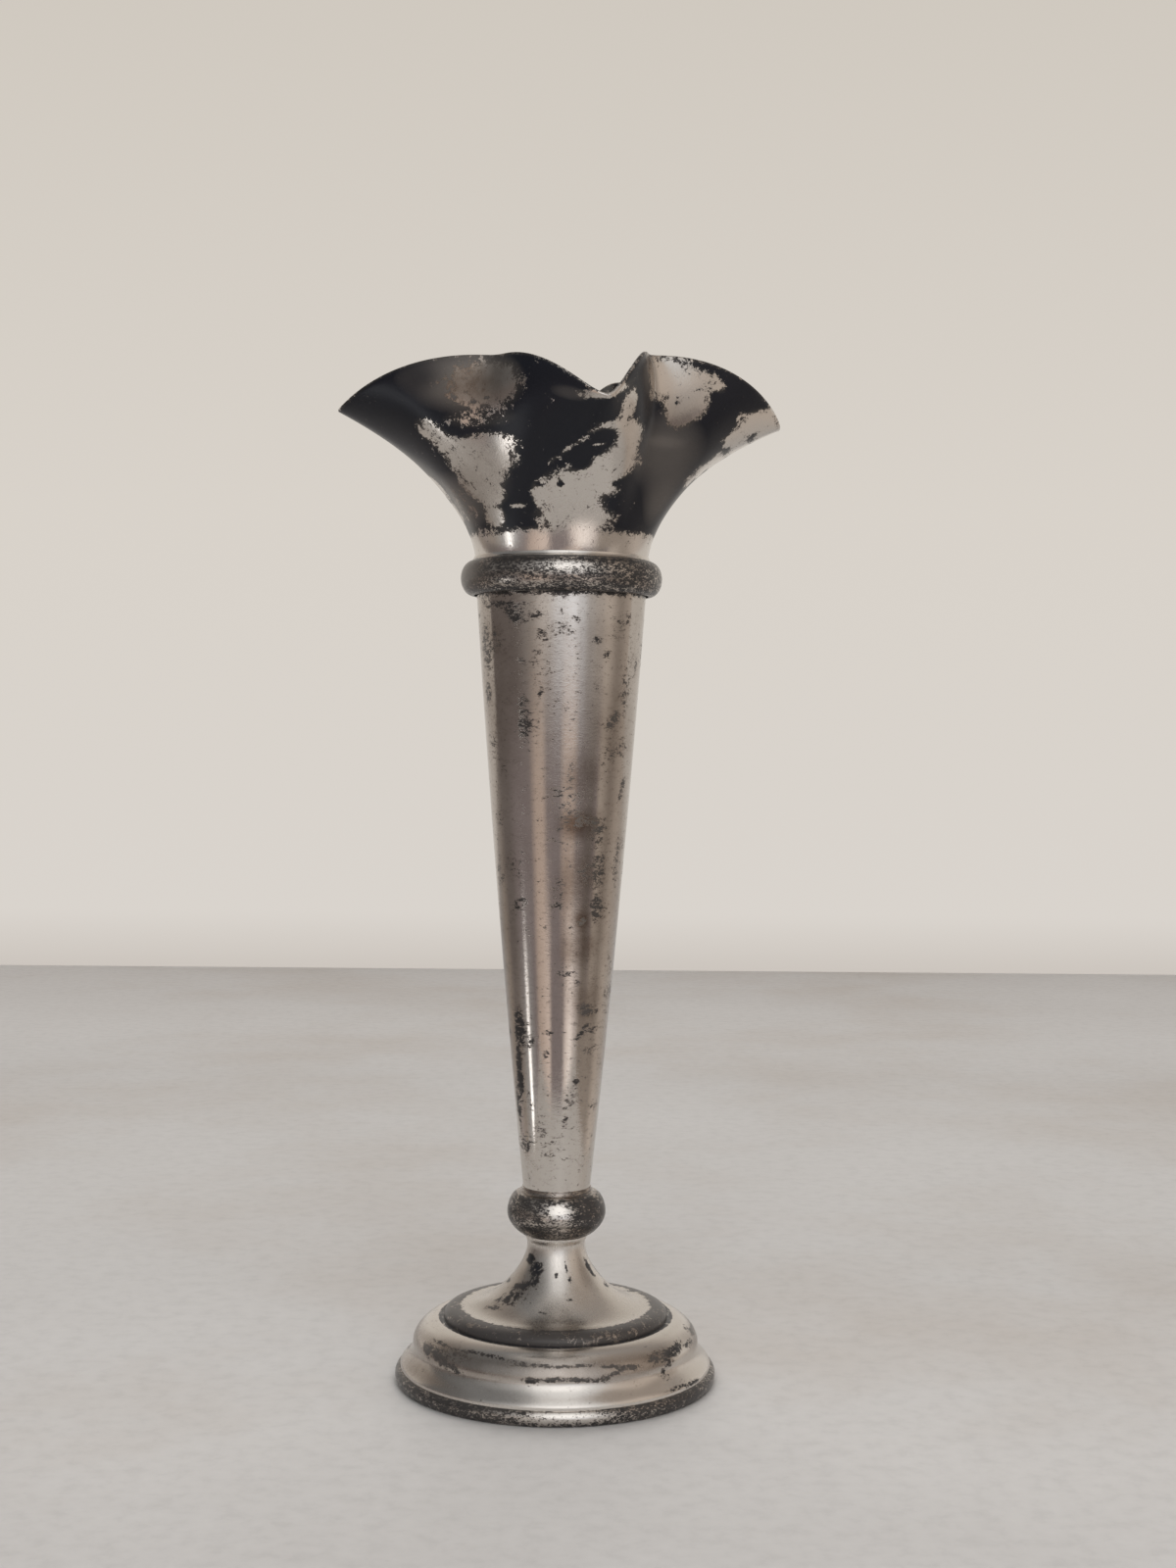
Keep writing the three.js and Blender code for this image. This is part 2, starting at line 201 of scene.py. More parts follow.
direction = add("ShaderNodeSeparateXYZ", {"Vector": add("ShaderNodeTexCoord").outputs["Generated"]})
slope = direction.outputs["Z"]
towards_camera = calc(add, "MULTIPLY", direction.outputs["Y"], -1.0)
bearing = calc(add, "ARCTAN2", direction.outputs["X"], towards_camera)
bearing = add("ShaderNodeMapRange", {0: bearing, 1: -math.pi, 2: math.pi}).outputs[0]
peach, mauve, brown = (0.62, 0.5, 0.43), (0.28, 0.24, 0.24), (0.36, 0.31, 0.27)
sand, shade = (0.58, 0.51, 0.45), (0.2, 0.175, 0.165)
low = ramp(add, bearing, by_bearing([
    (-180, 0.4), (-120, (0.45, 0.4, 0.38)), (-100, brown), (-77, 0.45), (-73, 2.6), (-70, 2.6), (-66, 0.45),
    (-50, mauve), (-41, peach), (-20, (0.9, 0.76, 0.68)), (-13, mauve), (11, mauve), (19, (0.95, 0.84, 0.78)),
    (29, (1.3, 1.2, 1.14)), (39, (0.85, 0.77, 0.73)), (50, brown), (90, brown), (108, sand), (180, 0.4)]))
below_eye = ramp(add, bearing, by_bearing([
    (-180, 0.5), (-125, brown), (-108, shade), (-95, shade), (-80, mauve), (-50, mauve), (-39, peach),
    (-28, peach), (-20, mauve), (0, mauve), (9, peach), (22, peach), (31, mauve), (55, shade), (63, mauve),
    (70, sand), (90, brown), (110, sand), (180, 0.5)]))
at_eye = ramp(add, bearing, by_bearing([
    (-180, 0.5), (-130, (0.36, 0.33, 0.31)), (-110, (0.22, 0.195, 0.185)), (-68, shade),
    (-45, (0.33, 0.3, 0.28)), (-20, (0.66, 0.62, 0.59)), (0, (0.86, 0.86, 0.88)), (18, (0.98, 1.0, 1.05)),
    (30, (0.74, 0.74, 0.76)), (42, (0.5, 0.47, 0.45)), (56, (0.5, 0.45, 0.41)), (70, sand), (90, brown),
    (115, sand), (180, 0.5)]), "EASE")
above_eye = ramp(add, bearing, by_bearing([
    (-180, 0.3), (-120, 0.21), (-75, 0.2), (-50, 0.33), (-28, 0.5), (-14, 1.1), (4, 1.35), (18, 1.3),
    (36, 0.75), (50, (0.62, 0.55, 0.49)), (78, (0.62, 0.54, 0.47)), (100, brown), (125, sand),
    (180, 0.3)]), "EASE")
overhead = ramp(add, bearing, by_bearing([
    (-180, 0.22), (-60, 0.2), (-34, 0.34), (-14, 0.9), (22, 1.0), (40, 0.7), (55, brown), (90, brown),
    (180, 0.33)]), "EASE")
ceiling = (0.6, 0.57, 0.54, 1)
slab_shine = (0.5, 0.475, 0.45, 1)
backdrop = (0.68, 0.64, 0.59, 1)
room = blend(slab_shine, low, -0.65, -0.5)
room = blend(room, below_eye, -0.3, -0.22)
room = blend(room, at_eye, -0.17, -0.08)
room = blend(room, above_eye, 0.08, 0.25)
room = blend(room, overhead, 0.6, 0.85)
room = blend(room, ceiling, 0.93, 0.985)
ray = add("ShaderNodeLightPath")
seen = mixed(add, ray.outputs["Is Camera Ray"], room, backdrop)
glow = add("ShaderNodeBackground", {"Color": seen})
add("ShaderNodeOutputWorld", {"Surface": glow.outputs[0]})
lamp_aim_height = 100 * mm
lamp_colour = (1, 0.985, 0.96)


def light_panel(name, width, height, bearing, elevation, distance, energy, spread=180):
    """A soft lamp that faces the vase from a bearing and an elevation in degrees, hidden from reflections."""
    lamp = bpy.data.lights.new(name, "AREA")
    lamp.shape = "RECTANGLE"
    lamp.size = width
    lamp.size_y = height
    lamp.energy = energy
    lamp.spread = math.radians(spread)
    lamp.color = lamp_colour
    panel = bpy.data.objects.new(name, lamp)
    bpy.context.scene.collection.objects.link(panel)
    panel.matrix_world = (
        Matrix.Translation((0, 0, lamp_aim_height))
        @ Matrix.Rotation(math.radians(bearing), 4, "Z")
        @ Matrix.Rotation(math.radians(90 - elevation), 4, "X")
        @ Matrix.Translation((0, 0, distance))
    )
    panel.visible_glossy = False
    return panel


light_panel("window_panel", width=0.95, height=0.8, bearing=4, elevation=25, distance=1.25, energy=4.6)
back_panel = light_panel("back_panel", width=1.2, height=0.3, bearing=180, elevation=45, distance=0.8,
                         energy=2.2, spread=110)
back_panel.visible_camera = False


# Foot wire: a half-round bead of silver-plated wire, bent to a ring and soldered round the foot's edge.
# The vase stands on its flat underside.
wire_radius = 32 * mm
wire_height = 3 * mm
wire_width = 2.4 * mm
wire_bulge = 1 * mm
wire_steps = 256
merge_distance = 0.001 * mm
sharp_edge = math.radians(50)


def curve(points, count):
    """Points on the Bezier curve of two, three or four control points, without its first point."""
    share = np.linspace(0, 1, count + 1)[1:, None]
    rows = [np.array(point, float)[None, :] for point in points]
    while len(rows) > 1:
        rows = [(1 - share) * first + share * second for first, second in zip(rows, rows[1:])]
    return [tuple(point) for point in rows[0]]


def arc(centre, across, upward, start, end, count):
    """Points on an ellipse's arc from one angle to another, in degrees from its outermost point."""
    angles = np.radians(np.linspace(start, end, count + 1))
    return [(centre[0] + across * math.cos(a), centre[1] + upward * math.sin(a)) for a in angles]


lathe = bpy.data.node_groups.new("lathe", "GeometryNodeTree")
lathe.interface.new_socket("Outline", in_out="INPUT", socket_type="NodeSocketGeometry")
steps_socket = lathe.interface.new_socket("Steps round", in_out="INPUT", socket_type="NodeSocketInt")
finish_socket = lathe.interface.new_socket("Finish", in_out="INPUT", socket_type="NodeSocketMaterial")
lathe.interface.new_socket("Turned", in_out="OUTPUT", socket_type="NodeSocketGeometry")
add = node_adder(lathe)

# Every column of a flat grid takes one outline point, and every row one step round the axis.
given = add("NodeGroupInput")
outline_size = add("GeometryNodeAttributeDomainSize", {0: given.outputs[0]}, component="MESH").outputs[0]
rows = calc(add, "ADD", given.outputs[1], 1.0)
grid = add("GeometryNodeMeshGrid", {"Vertices X": outline_size, "Vertices Y": rows}).outputs["Mesh"]
index = add("GeometryNodeInputIndex").outputs[0]
column = calc(add, "FLOOR", calc(add, "DIVIDE", calc(add, "ADD", index, 0.5), rows))
row = calc(add, "SUBTRACT", index, calc(add, "MULTIPLY", column, rows))
angle = calc(add, "MULTIPLY", calc(add, "DIVIDE", row, given.outputs[1]), -2 * math.pi)
outline_place = add("GeometryNodeInputPosition").outputs[0]
taken = add("GeometryNodeSampleIndex", {0: given.outputs[0], 1: outline_place, "Index": column},
            data_type="FLOAT_VECTOR")
taken = add("ShaderNodeSeparateXYZ", {0: taken.outputs[0]})
turned_place = add("ShaderNodeCombineXYZ", {
    0: calc(add, "MULTIPLY", taken.outputs["X"], calc(add, "SINE", angle)),
    1: calc(add, "MULTIPLY", taken.outputs["X"], calc(add, "MULTIPLY", calc(add, "COSINE", angle), -1.0)),
    2: taken.outputs["Z"]})
body = add("GeometryNodeSetPosition", {0: grid, "Position": turned_place.outputs[0]}).outputs[0]
body = add("GeometryNodeMergeByDistance", {0: body, "Distance": merge_distance}).outputs[0]
body = add("GeometryNodeRealizeInstances", {0: body}).outputs[0]
body = add("GeometryNodeSetMaterial", {0: body, "Material": given.outputs[2]}).outputs[0]
add("NodeGroupOutput", {0: body})


def turned_piece(name, outline, steps, finish):
    """A closed body of (radius, height) points, anticlockwise, turned about the vase's axis."""
    mesh = bpy.data.meshes.new(name)
    links = [(i, i + 1) for i in range(len(outline) - 1)]
    mesh.from_pydata([(radius, 0, height) for radius, height in outline], links, [])
    piece = bpy.data.objects.new(name, mesh)
    bpy.context.scene.collection.objects.link(piece)
    turning = piece.modifiers.new("lathe", "NODES")
    turning.node_group = lathe
    turning[steps_socket.identifier] = steps
    turning[finish_socket.identifier] = finish
    depsgraph = bpy.context.evaluated_depsgraph_get()
    turned = bpy.data.meshes.new_from_object(piece.evaluated_get(depsgraph))
    piece.modifiers.remove(turning)
    piece.data = turned
    turned.name = name
    turned.shade_smooth()
    turned.set_sharp_from_angle(angle=sharp_edge)
    return piece


def fit_to_vase(piece, node):
    """The piece stands for its solid and moves with the vase."""
    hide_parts(node)
    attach(piece, "root")


def silver_plate(name, flake=4.0, ragged=1.5, dust=0.5, lie=1.0, polish=0.16, ripple=0.6):
    """Silver plate under two films that are painted on the mesh. Bloom is a thin brown haze, from 0 to 1,
    and where it is strong it also lightens the dark film. Tarnish is dark sulphide, from -1 for none to 1
    for a closed film. Flakes of the given size in millimetres break up its edges, further in where it is more
    ragged, dust adds fine specks and ripple fine winding lines. A lie over 1 flattens them into level dashes.
    Polish is the bare metal's roughness."""
    clean_silver, brown_haze = (0.72, 0.68, 0.635, 1), (0.19, 0.145, 0.115, 1)
    thin_sulphide, sulphide_roughness = (0.165, 0.147, 0.133, 1), 0.28
    material, add = new_material(name)

    def noise(vector, scale, detail, roughness=0.5, distortion=0.0):
        return add("ShaderNodeTexNoise", {"Vector": vector, "Scale": scale, "Detail": detail,
                                          "Roughness": roughness, "Distortion": distortion}).outputs["Fac"]

    place = add("ShaderNodeTexCoord").outputs["Object"]
    tarnish = add("ShaderNodeAttribute", attribute_name="tarnish").outputs["Fac"]
    bloom = add("ShaderNodeAttribute", attribute_name="bloom").outputs["Fac"]
    laid = add("ShaderNodeMapping", {"Vector": place, "Scale": (1, 1, lie)}).outputs[0]
    combed = add("ShaderNodeMapping", {"Vector": place, "Rotation": (0.4, 0.3, 0), "Scale": (1, 1, 0.06)})
    flakes = noise(laid, 1 / (flake * mm), 10, 0.77, 0.4)
    specks = noise(laid, 2200, 3, 0.6)
    clouds = noise(place, 130, 6, 0.65)
    hairs = noise(combed.outputs[0], 2600, 3, 0.7)
    wander = noise(laid, 700, 1.5, distortion=1.5)
    wander = calc(add, "ABSOLUTE", calc(add, "SUBTRACT", wander, 0.5))
    ripples = add("ShaderNodeMapRange", {0: wander, 1: 0.0, 2: 0.045, 3: ripple, 4: 0.0}).outputs[0]

    # the level of sulphide, the film where it is over 0, and the haze with a fringe along the film's edges
    level = calc(add, "MULTIPLY_ADD", calc(add, "ADD", flakes, -0.5), ragged * 5, tarnish)
    level = calc(add, "MULTIPLY_ADD", calc(add, "ADD", specks, -0.5), dust * 5, level)
    level = calc(add, "ADD", level, ripples)
    film = add("ShaderNodeMapRange", {0: level, 1: -0.1, 2: 0.1}, interpolation_type="SMOOTHSTEP").outputs[0]
    fringe = add("ShaderNodeMapRange", {0: level, 1: -1.0, 2: 0.2, 4: 0.25}).outputs[0]
    veil = calc(add, "MULTIPLY_ADD", calc(add, "ADD", clouds, 0.5), bloom, fringe, use_clamp=True)

    # colours of the bare plate and of the film, which is blacker and less metallic the deeper it lies
    bare = mixed(add, veil, clean_silver, brown_haze)
    depth = add("ShaderNodeMapRange", {0: tarnish, 1: -0.5, 2: 1.4}).outputs[0]
    sulphide = ramp(add, depth, [
        (0.0, (0.06, 0.053, 0.05)), (0.4, (0.036, 0.034, 0.034)), (1.0, (0.009, 0.01, 0.015))])
    thinned = add("ShaderNodeMapRange", {0: bloom, 1: 0.35, 2: 1.0}).outputs[0]
    sulphide = mixed(add, thinned, sulphide, thin_sulphide)
    colour = mixed(add, film, bare, sulphide)
    film_metal = add("ShaderNodeMapRange", {0: depth, 3: 0.5, 4: 0.1}).outputs[0]
    metal = add("ShaderNodeMix", {0: film, 2: 1.0, 3: film_metal}).outputs[0]

    # roughness from fine brushing, and a low relief
    brushed = add("ShaderNodeMapRange", {0: hairs, 1: 0.3, 2: 0.7, 3: polish * 0.8, 4: polish * 1.3})
    dulled = calc(add, "MULTIPLY_ADD", veil, 0.05, brushed.outputs[0])
    gloss = add("ShaderNodeMix", {0: film, 2: dulled, 3: sulphide_roughness}).outputs[0]
    relief = calc(add, "MULTIPLY_ADD", clouds, 1.2, film)
    relief = calc(add, "MULTIPLY_ADD", hairs, 0.15, relief)
    relief = calc(add, "MULTIPLY_ADD", wander, 2.5 * ripple, relief)
    bump = add("ShaderNodeBump", {"Height": relief, "Strength": 0.15, "Distance": 0.06 * mm})
    plate = add("ShaderNodeBsdfPrincipled", {"Base Color": colour, "Metallic": metal, "Roughness": gloss,
                                             "IOR": 1.35, "Normal": bump.outputs[0]})
    add("ShaderNodeOutputMaterial", {"Surface": plate.outputs[0]})
    return material


def points_of(piece):
    """The piece's points in millimetres, with their normals, distance from the axis and turn in degrees
    from the front, positive to the right."""
    mesh = piece.data
    points = np.zeros(len(mesh.vertices) * 3)
    mesh.vertices.foreach_get("co", points)
    points = points.reshape(-1, 3) / mm
    normals = np.zeros(len(mesh.vertices) * 3)
    mesh.vertex_normals.foreach_get("vector", normals)
    radius = np.hypot(points[:, 0], points[:, 1])
    turn = np.degrees(np.arctan2(points[:, 0], -points[:, 1]))
    return points, normals.reshape(-1, 3), radius, turn


def lay_film(piece, film, ground, patches, face=None, edge=0.55):
    """Paints one of the films: the ground level first, then soft-edged patches over it.
    A patch is its turn, height, half width and half height in millimetres, lean in degrees and level.
    Its border runs from 1 - edge to 1 + edge of these sizes. It lies on the outer face, or on the points
    that face picks."""
    points, normals, radius, turn = points_of(piece)
    outward = (normals[:, :2] * points[:, :2]).sum(1) / np.maximum(radius, 0.01)
    outer = (outward > 0.05) | (normals[:, 2] > 0.6) if face is None else face
    level = np.broadcast_to(np.asarray(ground, float), turn.shape).copy()
    for where, height, half_width, half_height, lean, amount in patches:
        away = np.radians((turn - where + 180) % 360 - 180)
        miss = np.where(outer, (away * radius) ** 2 + (points[:, 2] - height) ** 2, np.inf)
        seat = int(np.argmin(miss))
        normal = normals[seat]
        across = np.cross((0, 0, 1), normal)
        across /= np.linalg.norm(across)
        upward = np.cross(normal, across)
        tilt = math.radians(lean)
        offset = points - points[seat]
        along = (offset @ (across * math.cos(tilt) + upward * math.sin(tilt))) / half_width
        beside = (offset @ (upward * math.cos(tilt) - across * math.sin(tilt))) / half_height
        cover = np.clip((1 + edge - np.hypot(along, beside)) / (2 * edge), 0, 1)
        cover *= outer & (normals @ normal > 0)
        level += (amount - level) * cover * cover * (3 - 2 * cover)
    attribute = piece.data.attributes.new(film, "FLOAT", "POINT")
    attribute.data.foreach_set("value", level.astype(np.float32))


outline = [(wire_radius - wire_width, 0), (wire_radius - wire_bulge, 0)]
outline += arc((wire_radius - wire_bulge, wire_height / 2), wire_bulge, wire_height / 2, -90, 90, 24)[1:]
outline += [(wire_radius - wire_width, wire_height), (wire_radius - wire_width, 0)]
wire_plate = silver_plate("wire_plate", flake=1.4, dust=0.9, lie=2)
foot_wire = turned_piece("foot_wire_bead", outline, wire_steps, wire_plate)
lay_film(foot_wire, "tarnish", 0.3, [
    (-45, 1.5, 13, 2, 0, 0.5),
    (-18, 2.3, 5, 0.8, 0, -0.1),
    (4, 2.2, 8, 1.2, 0, -1.1),
    (50, 1.5, 12, 2, 0, 0.5),
])
lay_film(foot_wire, "bloom", 0.45, [(5, 2.2, 8, 1.4, 0, 0)], edge=0.8)
fit_to_vase(foot_wire, "foot_wire")


# Base plate: a plain disc of silver-plated sheet, let into the foot from below and soldered inside the wire.
# It closes the foot and holds the loading in.
base_metal = silver_plate("base_metal", polish=0.4)
base_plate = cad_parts["base_plate"]
base_plate.material_slots[0].material = base_metal


# Loading: dark filler that is poured hot into the hollow foot and sets there as one lump.
# Its weight keeps the tall vase from tipping.
loading_fill, add = new_material("loading_fill")
place = add("ShaderNodeTexCoord").outputs["Object"]
lumps = add("ShaderNodeTexNoise", {"Vector": place, "Scale": 300, "Detail": 6})
tone = ramp(add, lumps.outputs["Fac"], [(0.3, (0.03, 0.026, 0.022)), (0.7, (0.075, 0.065, 0.052))])
crust = add("ShaderNodeBump", {"Height": lumps.outputs["Fac"], "Strength": 0.5, "Distance": 0.5 * mm})
filler = add("ShaderNodeBsdfPrincipled", {"Base Color": tone, "Roughness": 0.85, "Normal": crust.outputs[0]})
add("ShaderNodeOutputMaterial", {"Surface": filler.outputs[0]})
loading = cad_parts["loading"]
loading.material_slots[0].material = loading_fill


# Foot dome: the lower tier of the foot, spun from sheet over a former. It runs in at a cove,
# rounds over a shoulder and carries the upper tier on a level seat.
foot_wall = 0.7 * mm
dome_rise = 9.6 * mm
dome_skirt = 0.4 * mm
dome_waist_radius = 28.5 * mm
dome_waist_height = 4.6 * mm
dome_ledge = 0.7 * mm
dome_seat_width = 3.8 * mm
cone_radius = 22.3 * mm
dome_steps = 256
dome_level = wire_height
cone_level = dome_level + dome_rise


def sheet_outline(face, wall):
    """The closed outline of a sheet of even wall whose outer face follows the points upwards."""
    points = np.array(face)
    along = np.gradient(points, axis=0)
    along /= np.linalg.norm(along, axis=1)[:, None]
    along[0], along[-1] = np.round(along[0]), np.round(along[-1])
    inner = points + wall * np.stack([-along[:, 1], along[:, 0]], 1)
    return face + [tuple(point) for point in inner[::-1]] + [face[0]]


skirt_radius = wire_radius - wire_bulge
skirt_top = dome_level + dome_skirt
waist = dome_level + dome_waist_height
cove_rise = (waist - skirt_top) / 2
shoulder_radius = cone_radius + dome_ledge
shoulder_rise = (cone_level - waist) / 2
shoulder_in = (dome_waist_radius - shoulder_radius) / 2
face = [(skirt_radius, dome_level), (skirt_radius, skirt_top)]
face += curve([(skirt_radius, skirt_top), (skirt_radius, skirt_top + cove_rise / 2),
               (dome_waist_radius, waist - cove_rise), (dome_waist_radius, waist)], 24)
face += curve([(dome_waist_radius, waist), (dome_waist_radius, waist + shoulder_rise),
               (shoulder_radius + shoulder_in, cone_level), (shoulder_radius, cone_level)], 28)
face += [(cone_radius - dome_seat_width, cone_level)]
dome_plate = silver_plate("dome_plate", flake=1.3, ragged=2.2, dust=0.7, lie=1.5, polish=0.2)
foot_dome = turned_piece("foot_dome_tier", sheet_outline(face, foot_wall), dome_steps, dome_plate)
points, _, radius, _ = points_of(foot_dome)
joint_radius, joint_height = 23.3, 12
joint_line = (radius < joint_radius) & (points[:, 2] > joint_height)
lay_film(foot_dome, "tarnish", np.where(joint_line, 0.9, -2), [
    # a broken line round the shoulder, and short black marks below it
    (-54, 11.1, 4, 0.5, -4, 0.3),
    (-34, 11.3, 6, 0.45, 2, 0.2),
    (-18, 10.9, 4, 0.4, -5, 0.3),
    (-6, 10.3, 5, 0.4, 0, 0.35),
    (10, 10.3, 4.5, 0.4, 0, 0.35),
    (25, 9.6, 4, 0.5, -6, 0.35),
    (33, 9.3, 2.4, 0.6, 0, 0.4),
    (-8, 7.8, 2.2, 0.55, 0, 0.5),
    (2, 8.1, 3.2, 0.5, 5, 0.6),
    (13, 7.8, 4, 0.55, -4, 0.5),
    (24, 8.6, 3, 0.5, 12, 0.4),
    # ragged blotches to the left and right
    (-47, 10.2, 5, 1.2, 0, -0.5),
    (-62, 9.2, 2.6, 1, -25, 0.6),
    (-52, 8.9, 4.4, 1.1, -20, 0.7),
    (-42, 7.8, 2.6, 0.7, -20, 0.4),
    (46, 9.9, 3.4, 1.2, 10, 0.45),
    (56, 9.9, 4, 1.2, 12, 0.6),
    (50, 8.6, 1.6, 1.2, 0, 0.3),
    (70, 9.6, 2.4, 0.8, 0, 0.4),
    (82, 10.7, 2.2, 1, -30, 0.8),
    (48, 6.7, 1.2, 1.4, 0, 0.1),
    (50, 4, 3, 0.5, 0, 0.4),
    (61, 3.8, 3, 0.5, 0, 0.6),
    # the far side, in the same manner
    (92, 10.5, 7, 0.6, 0, 0.25),
    (118, 8.3, 6, 0.6, 4, 0.25),
    (146, 10.3, 8, 0.7, -3, 0.35),
    (170, 8.6, 3, 1.2, 15, 0.35),
    (196, 10.6, 7, 0.5, 0, 0.25),
    (224, 9.2, 4, 1, -12, 0.5),
    (252, 10.4, 6, 0.6, 0, 0.35),
    (264, 5.2, 3, 0.9, 10, 0.25),
    (136, 5, 2.4, 0.8, -8, 0.25),
])
haze_height, haze_half_height = 9.4, 1.4
shoulder = np.clip(1.7 - np.abs(points[:, 2] - haze_height) / haze_half_height, 0, 1)
lay_film(foot_dome, "bloom", 0.05 + 0.6 * shoulder, [
    (-50, 9.6, 12, 2.4, 0, 0.6),
    (-62, 5.5, 12, 2.4, 0, 0.7),
    (30, 8.6, 7, 1.2, 0, 0.6),
    (-5, 9.2, 14, 1.1, 0, 0.6),
    (62, 8.5, 5, 2.4, 0, 0.1),
], edge=0.8)
fit_to_vase(foot_dome, "foot_dome")


# Foot cone: the upper tier of the foot, a spun trumpet that sweeps up from a round edge to a narrow neck.
# It is soldered down on the dome's seat.
cone_rise = 16.4 * mm
cone_edge = 0.4 * mm
cone_brow_radius = 18.4 * mm
cone_brow_height = 2.1 * mm
cone_neck_radius = 5.75 * mm
cone_neck_height = 14.6 * mm
cone_top_radius = 6.2 * mm
cone_sweep = 0.4
cone_steps = 224
knop_level = cone_level + cone_rise
brow = cone_level + cone_brow_height
neck = cone_level + cone_neck_height
sweep_in = cone_sweep * (cone_brow_radius - cone_neck_radius)
sweep_up = cone_sweep * (neck - brow)
lip_rise = (knop_level - neck) / 2
face = [(cone_radius, cone_level), (cone_radius, cone_level + cone_edge)]
face += curve([(cone_radius, cone_level + cone_edge), (cone_radius, brow), (cone_brow_radius, brow)], 16)
face += curve([(cone_brow_radius, brow), (cone_brow_radius - sweep_in, brow),
               (cone_neck_radius, neck - sweep_up), (cone_neck_radius, neck)], 40)
face += curve([(cone_neck_radius, neck), (cone_neck_radius, neck + lip_rise),
               (cone_top_radius, knop_level - lip_rise), (cone_top_radius, knop_level)], 8)
cone_plate = silver_plate("cone_plate", flake=1.5, ragged=2.2, dust=0.5, polish=0.28)
foot_cone = turned_piece("foot_cone_tier", sheet_outline(face, foot_wall), cone_steps, cone_plate)
_, _, radius, _ = points_of(foot_cone)
dark_edge_radius = 19
lay_film(foot_cone, "tarnish", np.clip((radius - dark_edge_radius) * 2.4, -2, 0.8), [
    # the dark edge, thinner at its right
    (28, 13.8, 9, 1.2, 0, 0.4),
    (-25, 13.8, 10, 1.2, 0, 1.1),
    # black blots on the sweep below the neck, and short strokes at the front
    (-48, 18, 5, 2.6, 25, -0.4),
    (-54, 24.8, 1.4, 1.2, 0, 0.9),
    (-34, 23.3, 1.6, 1.8, 0, 1),
    (-31, 21.2, 1.3, 1.2, 0, 0.5),
    (-49, 20, 2.4, 1.2, 25, 0.6),
    (-51, 17.9, 2.4, 0.9, 20, 0.3),
    (-56, 16, 2.6, 0.6, 10, 0.1),
    (66, 23.7, 0.8, 1.8, 0, 0.7),
    (68, 21.8, 0.7, 1.4, 0, 0.6),
    (82, 19, 1.6, 0.7, 0, 0.4),
    (18, 23.7, 0.35, 1.2, 0, 0.5),
    (1, 22.4, 0.4, 0.8, 0, 0.4),
    (21, 21.6, 0.5, 0.6, 0, 0.4),
    (15, 18.4, 0.8, 0.5, 0, 0.8),
    (-10, 16.4, 1, 0.4, 0, 0.4),
    # the far side, in the same manner
    (104, 21, 1.8, 3, 10, 0.6),
    (132, 17.4, 3, 0.9, 12, 0.2),
    (165, 23.5, 1.4, 2.4, 0, 0.7),
    (188, 18.6, 2.2, 1.2, -15, 0.4),
    (225, 22, 1.6, 2.6, 0, 0.6),
    (250, 17, 3, 0.8, 10, 0.15),
    (276, 20, 1.2, 1, 0, 0.4),
])
lay_film(foot_cone, "bloom", np.where(radius > dark_edge_radius, 0.55, 0.03), [
    (-62, 21, 6, 6, 10, 0.5),
    (-55, 16, 7, 2, 0, 0.5),
    (50, 22.5, 2, 3, 0, 0.4),
], edge=0.8)
fit_to_vase(foot_cone, "foot_cone")


# Knop: a ball turned from bar with a small cove above it. A spigot below goes into the foot's neck,
# and one above goes into the tube and closes its lower end.
fit_gap = 0.3 * mm
knop_radius = 9.85 * mm
knop_ball_height = 8.6 * mm
knop_widest_height = 4.6 * mm
knop_lower_ledge = 0.2 * mm
knop_underside_rise = 0.5 * mm
knop_upper_radius = 7.7 * mm
knop_cove_rise = 1 * mm
knop_upper_ledge = 0.18 * mm
lower_spigot_length = 4 * mm
upper_spigot_length = 3 * mm
knop_steps = 160
tube_foot_radius = 6.72 * mm
tube_wall = 0.8 * mm
tube_level = knop_level + knop_ball_height + knop_cove_rise
widest = knop_level + knop_widest_height
ball_top = knop_level + knop_ball_height
lower_radius = cone_top_radius + knop_lower_ledge
top_radius = tube_foot_radius + knop_upper_ledge
lower_spigot_radius = cone_neck_radius - foot_wall - fit_gap
upper_spigot_radius = tube_foot_radius - tube_wall - fit_gap
lower_out = (knop_radius - lower_radius) / 3
upper_out = (knop_radius - knop_upper_radius) / 2
outline = [(0, knop_level - lower_spigot_length), (lower_spigot_radius, knop_level - lower_spigot_length),
           (lower_spigot_radius, knop_level), (lower_radius, knop_level)]
outline += curve([(lower_radius, knop_level), (lower_radius + lower_out, knop_level + knop_underside_rise),
                  (knop_radius, (knop_level + widest) / 2), (knop_radius, widest)], 28)
outline += curve([(knop_radius, widest), (knop_radius, (widest + ball_top) / 2),
                  (knop_upper_radius + upper_out, ball_top), (knop_upper_radius, ball_top)], 28)
outline += curve([(knop_upper_radius, ball_top), (top_radius, ball_top), (top_radius, tube_level)], 10)
outline += [(upper_spigot_radius, tube_level), (upper_spigot_radius, tube_level + upper_spigot_length),
            (0, tube_level + upper_spigot_length)]
knop_plate = silver_plate("knop_plate", flake=1.4, dust=0.9, lie=2)
knop = turned_piece("knop_ball", outline, knop_steps, knop_plate)
points, _, _, _ = points_of(knop)
cove_foot = 37.5
cove = points[:, 2] > cove_foot
lay_film(knop, "tarnish", np.where(cove, -0.6, 0.2), [
    (3, 34, 3, 2.6, 0, -0.4),
    (5, 35.4, 1.8, 1.1, 0, -1.3),
    (-35, 33.5, 2, 1.6, 0, 0),
    (-30, 31.6, 3, 0.8, 0, 0.7),
    (47, 34, 3.4, 4, 0, 0.7),
    (62, 33, 3, 4, 0, 0.6),
    (-65, 34, 2, 3, 0, 0.4),
])
